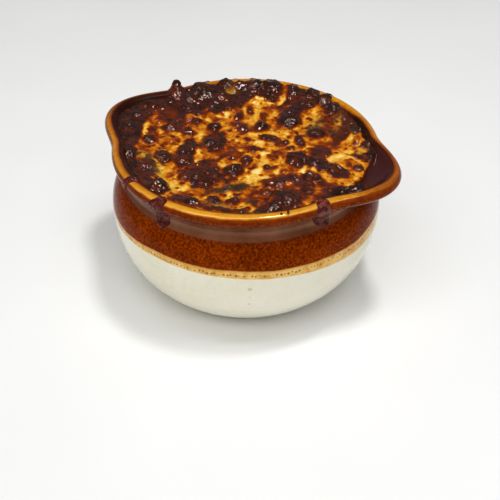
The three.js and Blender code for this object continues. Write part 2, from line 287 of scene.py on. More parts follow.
def inner_wall(height, bearing):
    """Radius of the crock's inside at a height, for heights from the soup up to the crest."""
    section = inside_profile()[:14]
    radii = np.array([p[0] for p in section] + [ROLL_CENTRE[0]])
    heights = np.array([p[1] for p in section] + [RIM_HEIGHT])
    order = np.argsort(heights)
    radius = np.interp(height, heights[order], radii[order])
    return radius + ear_growth(bearing) * smooth(*EAR_INSIDE, height)


def wall_height(radius, bearing):
    """Height at which the crock's inside reaches a radius, the other way round from inner_wall."""
    height = np.full(np.shape(radius), CRUST_BOTTOM)
    for level in np.arange(CRUST_BOTTOM, RIM_HEIGHT, 0.1):
        height = np.where(inner_wall(level, bearing) < radius, level, height)
    return height


def free_edge(bearing):
    """Plan radius at which the cheese ends freely in the +X ear, with its lobes."""
    radius = FREE_EDGE + 0.5 * np.sin(9 * bearing) + 0.35 * np.sin(23 * bearing)
    for middle, spread, reach in EDGE_LOBES:
        radius = radius + reach * np.exp(-(((np.degrees(bearing) - middle) / spread) ** 2))
    return radius


# ---- Crust form: rows of place, radius and height, in millimetres ----
BLISTERS = [
    (7, 30.5, 6.4, 3.0), (23.5, 26, 4.3, 2.3), (44, 28, 3.5, 1.6), (51.3, 29.5, 3.2, 1.8),
    (39, 37.5, 3.7, 1.4), (-2, 18.8, 4.3, 2.2), (-22.3, 7.5, 3.8, 1.9), (-11, 13.8, 4.4, 1.2),
    (-17.5, 22.5, 3.2, 1.0), (-15.2, 30.5, 2.6, 0.9), (-8.4, 34.8, 2.3, 0.8), (-7, 29.5, 2.7, 0.8),
    (5.8, 11.5, 4.2, 1.0), (14.3, 11.9, 2.3, 0.8), (19, 17.5, 3.2, 1.2), (25, 3, 5.8, 1.6),
    (34, 4.3, 4.3, 1.8), (43, 3.5, 4.4, 1.1), (36.9, -7.6, 2.8, 1.8), (41.3, -8, 2.8, 1.8),
    (5.2, -20.8, 4.8, 2.4), (17.3, -11.2, 2.4, 1.0), (6.3, -10.5, 3.5, 1.0), (-2, -9.5, 4.0, 0.9),
    (-14.5, -5, 6.4, 1.5), (-21.5, -15, 5.8, 1.6), (-18.5, -25, 4.4, 1.6), (-3, -32, 7.2, 2.2),
    (-11.3, -37, 3.3, 1.6), (36.5, -28.5, 7.2, 2.8), (35.5, -38, 5.0, 2.0), (17.7, -41.7, 3.3, 1.6),
    (24.5, -38, 2.5, 0.8), (25.6, -45, 2.3, 0.8), (-17, -48.5, 5.4, 2.2), (2.8, -51.5, 3.6, 1.6),
    (-29.5, -27, 4.2, 1.6), (-30.5, -36.3, 3.0, 1.5), (-43.5, -34, 4.3, 2.3), (-31, -3.3, 3.2, 1.6),
    (-34.3, 0.5, 2.5, 1.3), (-40.5, -3, 3.8, 1.4), (-35, -12.5, 4.4, 1.1), (-43.5, -13, 2.7, 1.1),
    (-43.5, -18.5, 3.0, 1.1), (-32, 7, 2.8, 1.3), (-37.2, 8.4, 3.5, 1.8), (25.5, -20, 4.8, 1.3),
    (27, -28.4, 3.0, 1.2), (10, -45, 3.6, 1.1), (5, -1.2, 3.7, 1.0), (15.2, -1.7, 2.9, 0.8),
    (59.8, -9.2, 4.2, 2.6), (63.2, -5.6, 4.3, 3.2), (55.6, -13, 4.2, 2.4), (55.3, 22, 3.5, 1.7),
    (-47, 22, 4.0, 1.4), (-43, 16.5, 3.6, 1.3), (-34, 13.5, 3.0, 1.2), (-30, 16, 2.4, 1.2),
    (-24, 27.5, 3.6, 1.2), (-18.5, 38.5, 2.8, 1.1), (7.3, 48, 3.2, 1.4), (8, 43.5, 2.6, 1.0),
    (-49, 31, 5.0, 1.3), (-36, 33, 5.0, 0.9),
]
RIM_LUMPS = [
    (21, 51, 3.6, 1.0), (14, 54.5, 4.8, 1.9), (6, 56.5, 4.6, 2.0), (-6, 57, 4.4, 1.7), (-16, 54, 5.0, 2.2),
    (-24, 51, 4.8, 2.3), (-31, 47, 3.6, 1.4), (-37, 43.5, 4.8, 2.4), (-46, 34, 4.6, 2.1),
    (-41, 31, 4.0, 1.4), (-60, 8, 4.4, 1.8), (-62, -3, 4.0, 1.4), (-58, -15, 4.4, 1.4),
]

# Tones from 0, pale cheese, to 1, burnt black.
CREAM, YELLOW, LEMON, STRAW, PAINTED_GLINT, GOLD = 0.05, 0.19, 0.2, 0.25, 0.28, 0.3
OCHRE, TOFFEE, CARAMEL, ORANGE, COPPER, CHESTNUT = 0.38, 0.41, 0.42, 0.43, 0.44, 0.5
RUST, BROWN, UMBER, SOOTY, DARK, CHARRED, BLACK = 0.56, 0.68, 0.74, 0.78, 0.79, 0.86, 0.92

# Marks of one tone, in the order they are laid on: place, half length, half width, turn in degrees.
MARKS = [
    (DARK, [
        (-42, 27, 27, 16, 48), (-22, 47, 17, 11, 12), (2, 52, 12, 10, 0), (4, 40, 5, 10, 0),
        (-57, -12, 11, 7, -68), (-53, -23, 10, 6.5, -60), (-46, -34, 10, 6, -52), (-63, 4, 10, 5, 80),
        (-37, -43, 10, 5.5, -42), (-27, -47, 9, 4, -24), (-17, -50, 9, 5, -6), (0, -52, 9, 3, 0),
        (16, -50.5, 10, 2.2, 14), (30, -44.5, 7, 2.4, 34), (26, 3, 7.5, 5.2, -70), (37, 3.5, 8, 5, 0),
        (47, 1.5, 6, 4.4, -30), (36, -31, 8, 11, 0), (35.5, -39.5, 6, 5, -40), (-3, -32, 7, 8.5, 10),
        (-14.5, -4, 9, 5.4, -60), (-21.5, -16, 9, 5.6, -65), (-18, -25.5, 5, 5, 0), (40, 40, 12, 6, -45),
        (53, 27, 9, 6, -60), (58.6, -7, 4.4, 8, 0), (55.6, -12, 5, 6, 0), (53, -20, 3, 6, 20),
        (23, 49, 9, 5, -25),
    ]),
    (RUST, [(27, 37, 8, 10, 20)]),
    (BROWN, [
        (33, 42, 4, 7, 20), (35, 30, 11, 3, -78), (39, -13, 10, 5, -10), (45, -16, 7, 9, 10),
        (25.5, -19.5, 6, 5, 0), (31, -14, 4, 4, 0), (33, 12.5, 5, 5, 0), (-40, -3, 6, 7, 0),
        (-46, 5, 9, 7, -30), (-55, 4, 5, 9, 0), (-30, -28, 6, 6, 0), (-30, -41, 7, 5, -30),
        (-7, -25, 6, 7, 0), (-9, -31, 5, 5, 0), (45, 38, 5, 4, -45), (12, 20, 2, 2, 0), (6, -26, 5, 4, 0),
    ]),
    (OCHRE, [(-35, -12, 8, 6, -30), (-33, -20, 4, 4, 0)]),
    (RUST, [
        (-44, -12, 4, 7, 30), (26.5, -32, 6, 5, 0), (33, -21, 4, 4, 0), (-58.5, 15, 2, 4.5, 30),
        (-2, -9.5, 4.4, 5, 0), (-5, -17, 2.4, 5, 0), (46.5, -17, 3, 6, 5),
    ]),
    (GOLD, [
        (12, 13, 13, 11, 0), (14, -6, 9, 6, 0), (0, 5, 8, 6, 0), (-12, 30, 8, 13, 25), (14, 37, 3.2, 10, 4),
        (-9, 4.5, 7, 3.6, -45), (-27.5, 2.5, 5, 1.8, -55), (-27.8, 9.3, 2.4, 3, 20),
        (-18.4, 14.6, 3, 2.6, 0), (-36, -24.5, 7, 1.9, -58), (-34.6, -20, 3, 3.4, 0),
        (-22.5, -33, 5, 3, -48), (-19, -39.5, 5, 2, -42), (-51.5, -6, 5.5, 0.9, -70),
        (-52.3, 1.6, 3, 0.9, -65), (-45, -5.5, 4.5, 0.8, -65), (-44.5, -1.8, 1.5, 1, 0),
        (-38.5, -15, 6, 1, -53), (21, -28.5, 5.4, 1.3, 80), (17.5, -34, 2.6, 2, 30),
        (46.5, -25, 5, 1.3, -72),
    ]),
    (CARAMEL, [(-8.6, 54, 3.8, 1.4, -66)]),
    (GOLD, [
        (-6, 45.6, 4.6, 2, -74), (45.4, -28, 1.7, 1.7, 0), (52.6, -3.6, 2.8, 3.4, 0), (29.6, 24, 2, 3, 0),
        (24.6, 19, 2.2, 3.4, 0), (29, 40, 4.5, 1.2, -72), (-34.4, 20.5, 0.9, 2.2, 10),
        (-7.5, 20.3, 4.5, 1.8, -20), (0.4, 43, 1.2, 1.9, 0), (12, -43, 3, 3, 0), (2, -46.6, 3.6, 2.2, 0),
        (28, 8.2, 1.3, 1.7, 20), (44, -13.6, 4, 0.8, -60),
    ]),
    (YELLOW, [(49.8, 10.6, 7.4, 4.9, -14)]),
    (TOFFEE, [(49.8, 10.6, 6.2, 3.8, -14)]),
    (ORANGE, [
        (8.2, -50, 3.6, 2, -12), (28.5, -36.5, 2.6, 2.4, 0), (23.5, 36, 3, 2.8, 0),
        (-32.9, -18.6, 2.6, 2.4, 0), (17, 3, 3.4, 3.6, 0), (-1, -2, 2.6, 4, 20), (24, -31, 3, 2.4, 0),
    ]),
    (YELLOW, [
        (-10.5, 31.5, 11, 3.8, -58), (-2.9, 31, 6.4, 1.7, -80), (-5.8, 46.5, 4.6, 1.3, -82),
        (-11, 22, 4, 2, -30),
    ]),
    (STRAW, [(13.8, 43, 4.4, 1.7, -72)]),
    (YELLOW, [
        (15.2, 33.6, 4, 1.5, 82), (13.4, 26.8, 2.6, 2.4, 0), (6.5, 18.6, 5, 2.4, 5),
        (11.5, 16.5, 1.8, 4, 0), (17.4, 13.4, 2, 3.2, 30), (24.8, 13.2, 3.6, 2, 30), (-2, 11, 2.6, 2.2, 0),
        (-8, 2, 2.4, 1.8, 0), (2.4, -5, 3.4, 2.2, 0), (3, -15.6, 3, 2.4, 0), (-1.7, -17.4, 4.4, 2.6, -60),
        (12, -8, 4, 4, 0), (14, -17.5, 8, 3.6, -55), (19, -19, 5, 2.6, 20), (12, -24, 2.8, 1.8, 20),
        (-15, -18.6, 6, 2.3, -62), (-28.6, -15, 6, 1.2, -86), (-31.4, -9, 4, 1.6, -32),
        (-29, -32.4, 3.4, 0.9, -20), (-24.5, -35.4, 3, 1.1, -42), (-13.6, -39.4, 3.6, 1.1, -62),
        (-10.6, -45, 4.4, 1.8, -58), (-8.8, -51, 3, 2, -50), (24.5, -43, 5.4, 3.2, -20),
        (5.6, -26.8, 1.3, 1, 0), (38.8, 28.6, 5.4, 1.6, 82), (49.2, 22.6, 2.8, 2.4, 0),
        (44.6, 19.6, 2, 1.8, 0), (50.5, 15.7, 6, 1.1, -6), (56.3, 10.5, 4.2, 1, -78), (55.4, 2, 3.4, 1, 84),
        (55.5, -4.6, 1.4, 2.6, 0), (47.4, 31.6, 1, 2.2, 0),
    ]),
    (CREAM, [
        (41.2, 12.4, 4.6, 2.5, 82), (-16.6, 42, 2, 2.2, 0), (-9.4, 41.2, 3, 1.4, -35),
        (19.2, -26, 2.4, 0.7, 35), (-22.4, 20.6, 3.4, 1.2, -60), (-25.2, 18, 1.3, 1.1, 0),
        (-28.2, 12, 1.3, 0.9, 0),
    ]),
    (LEMON, [(-24.1, -4, 4.2, 1.9, -68)]),
    # A pale spot laid on a glint of the cheese: painted highlight.
    (PAINTED_GLINT, [(32.2, -17.6, 1.4, 1, 30)]),
    (CREAM, [
        (-49.3, -11.6, 5.4, 1.4, -61), (-41.6, -9.3, 1.8, 0.6, -60), (4, 5.4, 2.2, 2.4, 0),
        (10.9, -0.5, 6.6, 1.5, -84), (21.6, -9.6, 5.4, 1.3, -63), (15.6, -17.6, 5, 1.4, -60),
        (19.5, -18.4, 3, 1.2, 30), (33.2, -5, 4.2, 1.6, -78), (36.4, -1.4, 1.5, 1.4, 0),
        (14.1, -38.2, 1.2, 2, 0), (-6.6, -43.8, 2.9, 2, 28), (5.4, -44.4, 1.1, 1.2, 0),
        (-13.4, -22.8, 1.6, 1.1, -40), (30.6, -24.8, 1.2, 0.7, 0),
    ]),
    (BROWN, [
        (-15.2, 30.5, 3.6, 1.5, -56), (-17.4, 22.8, 4.2, 2, -72), (-11.4, 13.8, 5, 2.3, -18),
        (-3.2, 39.4, 1.5, 1.8, 0), (5.9, 11.6, 4.8, 3, 22), (14.3, 11.9, 2, 2.4, 0), (19.1, 8.8, 2, 1.6, 0),
        (11.7, 8.4, 1.2, 1.3, 0), (14.4, 22.8, 1.6, 1.5, 0), (30, 17, 1.9, 1.4, 0),
        (14.8, 37.3, 1.3, 1.2, 0), (-16.2, 4.9, 2, 1.7, 0), (4.8, -0.8, 4.8, 2.2, 30),
        (6.3, -10.4, 4.2, 2.6, -72), (-11.3, -37, 2.9, 3, 0), (17.7, -41.7, 3, 3, 0),
        (24.4, -38, 2.5, 1.9, -25), (25.6, -45, 1.8, 2.3, 0), (10, -45.4, 3.8, 2.2, -10),
    ]),
    (YELLOW, [(43.6, 28.5, 5.8, 3.6, -78)]),
    (CHESTNUT, [(43.8, 28.4, 4.4, 2.2, -78)]),
    (BROWN, [(-30.5, -36.3, 2.3, 2.4, 0), (26.9, -28.3, 2.8, 2.4, 0), (-2.6, 5.8, 1.5, 1.4, 0)]),
    (CHESTNUT, [(-8.7, 34.9, 2.2, 2.3, 0), (-6.8, 29.2, 3.8, 2, -66)]),
    (RUST, [
        (13.4, 17.5, 1.2, 1.4, 0), (15.4, -1.6, 4.2, 2, -66), (12.6, -19.3, 1.5, 1.2, 0),
        (11.7, -13.6, 1.6, 1.8, 0), (20.6, -9.4, 1.1, 1.4, 0), (21.7, -16.3, 1.3, 1, 0),
        (48.2, 10.1, 1.3, 1.4, 0),
    ]),
    (DARK, [
        (20, 16.2, 5, 2.1, -52), (17.3, -11.2, 1.8, 2.3, -20), (5.2, -20.8, 5, 4, 0), (-2.2, 19.2, 4, 4, 0),
        (-22.4, 7.4, 3.4, 4, 0), (23.8, 26, 3.6, 4.6, 0), (53.1, 10.1, 1.6, 1.9, 0),
        (51, 17.8, 5.2, 1.3, -2), (36.9, -7.6, 2.5, 2.5, 0), (41.3, -8, 2.5, 2.6, 0), (-32, 7.4, 2.6, 3, 0),
        (-31, -3.2, 3, 2.9, 0), (-43.5, -18, 3, 3, 0), (-29.6, -27, 4, 4, 0), (-2.6, -51, 3, 3, 0),
        (51.2, 29.6, 3, 3.2, 0),
    ]),
    (BLACK, [
        (7, 31, 6, 6.4, 0), (-17, -48.5, 6.4, 3.8, -5), (-43.5, -34, 4.2, 3.6, -40),
        (2.8, -51.5, 3.4, 3.2, 0), (55.4, 22.3, 3.2, 3.4, 0), (62.4, -6.6, 6.6, 5.4, 20),
        (56, -13, 4.8, 4.8, 0), (35.5, -39, 5, 3.4, -35), (38.6, 37.8, 3.4, 3, -40),
        (-34.6, -42, 4, 2.4, -45), (21.2, 51.6, 2.4, 1.8, -20), (15, 57, 3.4, 3, 0),
    ]),
    (COPPER, [(-32, 40, 3.6, 3, 0)]),
    (UMBER, [
        (12, -33.4, 9, 2.5, 47), (29.5, -47.4, 6, 1.1, 37), (51, 32.5, 7, 3, -58), (47.5, 37, 5, 2.6, -48),
    ]),
    (BLACK, [
        (-38, 45, 3.2, 3.2, 0), (-19, 56, 5, 3, 0), (-38, -21.3, 0.7, 0.8, 0), (-8.8, -45, 0.6, 0.6, 0),
    ]),
]

# Where a clear, greenish grey skin lies over the cheese: place, half length, half width, turn, strength.
OLIVE = [
    (12, -33, 10, 2.6, 47, 0.7),
    (28.5, 42, 3, 5, 20, 0.5),
    (21, 33, 2.6, 4, 0, 0.7),
    (30, 33, 2, 4, 0, 0.4),
    (19, 33, 2, 9, 8, 0.8),
    (39, 38, 4, 3.4, -40, 0.8),
    (-31.8, 39.8, 4, 3.4, 0, 0.7),
    (-36.6, -30.4, 4.6, 2, -10, 0.9),
    (-25.5, -36.8, 8, 2, -45, 0.75),
    (-10.6, -45, 4.6, 1.8, -58, 0.5),
    (-30, -25, 3.4, 3, 0, 0.6),
    (49, 22.6, 3.4, 3, 0, 0.4),
    (29.5, -47.4, 6, 1.2, 37, 0.9),
    (14, -48, 7, 2.2, 10, 0.6),
    (-48, 32, 8, 6, 40, 0.15),
    (24.4, -38, 2.5, 1.9, -25, 0.6),
]


def warp(x, y):
    """Bends outlines so that round marks come out ragged."""
    dx = 0.6 * cloud(x, y, 5.2, 3, 2) + 0.4 * cloud(x, y, 1.9, 5, 2)
    dy = 0.6 * cloud(x, y, 5.2, 11, 2) + 0.4 * cloud(x, y, 1.9, 13, 2)
    return x + dx, y + dy


def stroke(x, y, centre_x, centre_y, length, width, turn, soft=1.1):
    """1 inside a turned oval, 0 outside it, with an edge of even softness."""
    a = math.radians(turn)
    u = (math.cos(a) * (x - centre_x) + math.sin(a) * (y - centre_y)) / length
    v = (-math.sin(a) * (x - centre_x) + math.cos(a) * (y - centre_y)) / width
    return 1 - smooth(-soft, soft, (np.hypot(u, v) - 1) * min(length, width))


def heel(x, y):
    bearing = np.arctan2(y, x)
    back = smooth(math.radians(40), math.radians(75), bearing)
    back = back * (1 - smooth(math.radians(143), math.radians(169), bearing))
    return HEEL_RISE * back * smooth(34, 54, np.hypot(x, y))


def ripple(x, y):
    return 0.35 * np.sin(0.55 * x + 0.31 * y) * np.sin(0.47 * y - 0.2 * x + 1) + 0.25 * np.sin(
        0.93 * x - 0.78 * y + 2
    ) * np.cos(0.61 * x + 0.87 * y)


def edge_lift(x, y):
    free = in_ear(np.arctan2(y, x), 1)
    return mix(WALL_RISE, -FREE_EDGE_DROP, free) * smooth(46, 56, np.hypot(x, y))


def dome(x, y, centre_x, centre_y, radius):
    """1 at a round mark's middle, 0 outside it, with soft shoulders."""
    d = np.minimum(np.hypot(x - centre_x, y - centre_y) / radius, 1)
    return (1 - d * d) ** 0.8 * (1 - 0.15 * d)


def bubble_rows():
    """Small bubbles that the seeded draw scatters over the cheese: place, radius and a chance."""
    draw = np.random.RandomState(8)
    radius = 64 * np.sqrt(draw.uniform(size=BUBBLES))
    bearing = draw.uniform(-math.pi, math.pi, BUBBLES)
    sizes = draw.uniform(*BUBBLE_SIZES, BUBBLES)
    return zip(radius * np.cos(bearing), radius * np.sin(bearing), sizes, draw.uniform(size=BUBBLES))


def crust_fields(x, y):
    """Height in millimetres, tone and greenness of the cheese at each point."""
    wx, wy = warp(x, y)
    tone = 0.4 + 0.12 * cloud(x, y, 8, 21, 3)
    for value, places in MARKS:
        for place in places:
            tone = mix(tone, value, stroke(wx, wy, *place))
    olive = np.zeros_like(tone)
    for *place, strength in OLIVE:
        olive = np.maximum(olive, strength * stroke(wx, wy, *place, soft=1.6))

    height = CRUST_LEVEL + ripple(x, y) + heel(x, y) + edge_lift(x, y)
    for cx, cy, radius, rise in BLISTERS + RIM_LUMPS:
        height = height + rise * dome(wx, wy, cx, cy, radius)
    height = height + 0.4 * (smooth(0.2, 0.8, tone) - 0.5)
    grid = {}
    for i, cell in enumerate(zip((x // CELL).astype(int), (y // CELL).astype(int))):
        grid.setdefault(cell, []).append(i)
    bumps = np.zeros_like(height)
    browned = np.zeros_like(height)
    for cx, cy, radius, chance in bubble_rows():
        column, row = int(cx // CELL), int(cy // CELL)
        around = [grid.get((column + i, row + j), []) for i in (-1, 0, 1) for j in (-1, 0, 1)]
        here = np.array([i for cell in around for i in cell], int)
        if len(here) == 0:
            continue
        size = dome(x[here], y[here], cx, cy, radius)
        middle = tone[here[np.argmax(size)]]
        rise = DARK_BUBBLE_RISE if middle > 0.6 else PALE_BUBBLE_RISE
        bumps[here] = np.maximum(bumps[here], size * radius * rise)
        if chance < BROWNED_SHARE:
            browned[here] = np.maximum(browned[here], size * (0.12 + 0.6 * chance))
    height = height + bumps
    rough = smooth(0.5, 0.85, tone)
    height = height + 0.07 * rough * cloud(x, y, 2.2, 31, 2) + 0.08 * (1 - rough) * cloud(x, y, 3.0, 41, 2)
    tone = tone + 0.1 * cloud(x, y, 2.4, 51, 3) + 0.12 * np.maximum(cloud(x, y, 4.5, 55, 2), 0)
    tone = tone + browned * (1 - smooth(0.5, 0.8, tone))

    # In the +X ear the crust ends freely and rounds down onto the dished wall.
    radius, bearing = np.hypot(x, y), np.arctan2(y, x)
    in_right = smooth(*EAR_BLEND, in_ear(bearing, 1))
    climbed = wall_height(radius, bearing) + CLIMB + bumps
    height = mix(height, np.maximum(height, climbed), in_right)
    past = smooth(-1.6, 2.0, radius - free_edge(bearing)) * in_right
    height = mix(height, wall_height(radius, bearing) - 0.3, past)
    tone = mix(tone, DARK, smooth(0.1, 0.4, past))
    tone = mix(tone, CHARRED, smooth(57, 62, radius) * smooth(0.05, 0.3, in_ear(bearing, -1)))
    return height, np.clip(tone, 0, 1), olive


# ---- Mesh helpers ----
def finish_mesh(bm, name, material, replaced=()):
    """Turns the layout onto the part, scales to metres, makes the object, hangs it on the root body and hides
    the CAD parts it replaces.
    """
    bmesh.ops.recalc_face_normals(bm, faces=bm.faces)
    bmesh.ops.rotate(bm, cent=(0, 0, 0), matrix=Matrix.Rotation(-LAYOUT_TURN, 3, "Z"), verts=bm.verts)
    bmesh.ops.scale(bm, vec=(MM, MM, MM), verts=bm.verts)
    for face in bm.faces:
        face.smooth = True
    mesh = bpy.data.meshes.new(name)
    bm.to_mesh(mesh)
    bm.free()
    mesh.materials.append(material)
    piece = bpy.data.objects.new(name, mesh)
    bpy.context.collection.objects.link(piece)
    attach(piece, "root")
    if replaced:
        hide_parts(*replaced)
    return piece


# ---- Material helpers ----
class Nodes:
    """A short way to write a node tree."""

    def __init__(self, name):
        self.material = bpy.data.materials.new(name)
        self.material.use_nodes = True
        self.tree = self.material.node_tree
        self.shader = self.tree.nodes["Principled BSDF"]
        self.place = self.tree.nodes.new("ShaderNodeTexCoord").outputs["Object"]

    def link(self, source, target):
        if isinstance(source, bpy.types.NodeSocket):
            self.tree.links.new(source, target)
        else:
            target.default_value = source

    def add(self, kind, **settings):
        node = self.tree.nodes.new(kind)
        for key, value in settings.items():
            setattr(node, key, value)
        return node

    def noise(self, scale, detail=4.0, roughness=0.55, vector=None):
        node = self.add("ShaderNodeTexNoise")
        self.link(vector or self.place, node.inputs["Vector"])
        for key, number in (("Scale", scale), ("Detail", detail), ("Roughness", roughness)):
            node.inputs[key].default_value = number
        return node.outputs["Fac"]

    def waver(self, amount, *noise):
        """Noise about zero, for moving a value to and fro."""
        return self.times(self.minus(self.noise(*noise), 0.5), amount)

    def cells(self, scale):
        """Distance to the nearest of many points strewn at random."""
        node = self.add("ShaderNodeTexVoronoi")
        self.link(self.place, node.inputs["Vector"])
        node.inputs["Scale"].default_value = scale
        return node.outputs["Distance"]

    def moved(self, along):
        """The object's coordinates moved along x, for a pattern unlike the others."""
        node = self.add("ShaderNodeMapping")
        self.link(self.place, node.inputs["Vector"])
        node.inputs["Location"].default_value = (along, 0, 0)
        return node.outputs["Vector"]

    def distance(self, point):
        """Distance of the surface from a point given in millimetres."""
        node = self.add("ShaderNodeVectorMath", operation="DISTANCE")
        self.link(self.place, node.inputs[0])
        node.inputs[1].default_value = [value * MM for value in point]
        return node.outputs["Value"]

    def attribute(self, name):
        return self.add("ShaderNodeAttribute", attribute_name=name).outputs["Fac"]

    def math(self, operation, a, b=0.0, clamp=False):
        node = self.add("ShaderNodeMath", operation=operation, use_clamp=clamp)
        self.link(a, node.inputs[0])
        self.link(b, node.inputs[1])
        return node.outputs[0]

    def times(self, a, b):
        return self.math("MULTIPLY", a, b)

    def plus(self, a, b, clamp=False):
        return self.math("ADD", a, b, clamp)

    def minus(self, a, b):
        return self.math("SUBTRACT", a, b)

    def fit(self, value, low, high, to_low=0.0, to_high=1.0):
        node = self.add("ShaderNodeMapRange", interpolation_type="SMOOTHSTEP")
        self.link(value, node.inputs["Value"])
        for key, number in zip(("From Min", "From Max", "To Min", "To Max"), (low, high, to_low, to_high)):
            node.inputs[key].default_value = number
        return node.outputs["Result"]

    def mix(self, amount, a, b):
        node = self.add("ShaderNodeMix", data_type="RGBA")
        self.link(amount, node.inputs["Factor"])
        for value, key in ((a, 6), (b, 7)):
            self.link(value, node.inputs[key])
        return node.outputs[2]

    def cover(self, under, over, amount, *factors):
        """One colour laid over another, by an amount times any factors."""
        for factor in factors:
            amount = self.times(amount, factor)
        return self.mix(amount, under, over)

    def ramp(self, value, stops):
        node = self.add("ShaderNodeValToRGB")
        self.link(value, node.inputs["Fac"])
        elements = node.color_ramp.elements
        while len(elements) < len(stops):
            elements.new(0.5)
        for element, (position, colour) in zip(elements, stops):
            element.position = position
            element.color = colour
        return node.outputs["Color"]

    def bump(self, height, distance, strength=1.0, normal=None):
        node = self.add("ShaderNodeBump")
        self.link(height, node.inputs["Height"])
        node.inputs["Distance"].default_value = distance
        self.link(strength, node.inputs["Strength"])
        if normal is not None:
            self.link(normal, node.inputs["Normal"])
        return node.outputs["Normal"]

    def set(self, **values):
        for key, value in values.items():
            self.link(value, self.shader.inputs[key.replace("_", " ")])


def srgb(red, green, blue):
    """A colour given as 0 to 255 screen values, as the linear values that a socket takes."""
    channel = lambda c: c / 12.92 if c <= 0.04045 else ((c + 0.055) / 1.055) ** 2.4
    return (channel(red / 255), channel(green / 255), channel(blue / 255), 1.0)


# ---- Materials ----
def pinhole_row(n, x, y, over_top):
    """Small burst bubbles in a row along the caramel band: 1 inside one, 0 elsewhere."""
    around = n.times(n.math("ARCTAN2", y, x), BELLY_RADIUS / PINHOLE_STEP)
    draw = n.add("ShaderNodeTexWhiteNoise", noise_dimensions="1D")
    n.link(n.math("FLOOR", around), draw.inputs["W"])
    chance = draw.outputs["Value"]
    shift = n.times(n.minus(n.math("FRACT", n.times(chance, 7.0)), 0.5), 0.5)
    aside = n.times(n.minus(n.minus(n.math("FRACT", around), 0.5), shift), PINHOLE_STEP)
    drop = n.plus(over_top, n.plus(n.times(chance, 0.9), PINHOLE_DROP - 0.45))
    away = n.math("SQRT", n.plus(n.times(aside, aside), n.times(drop, drop)))
    size = n.plus(n.times(n.math("FRACT", n.times(chance, 13.0)), 0.5), 0.18)
    return n.fit(n.minus(away, size), 0.1, -0.15)


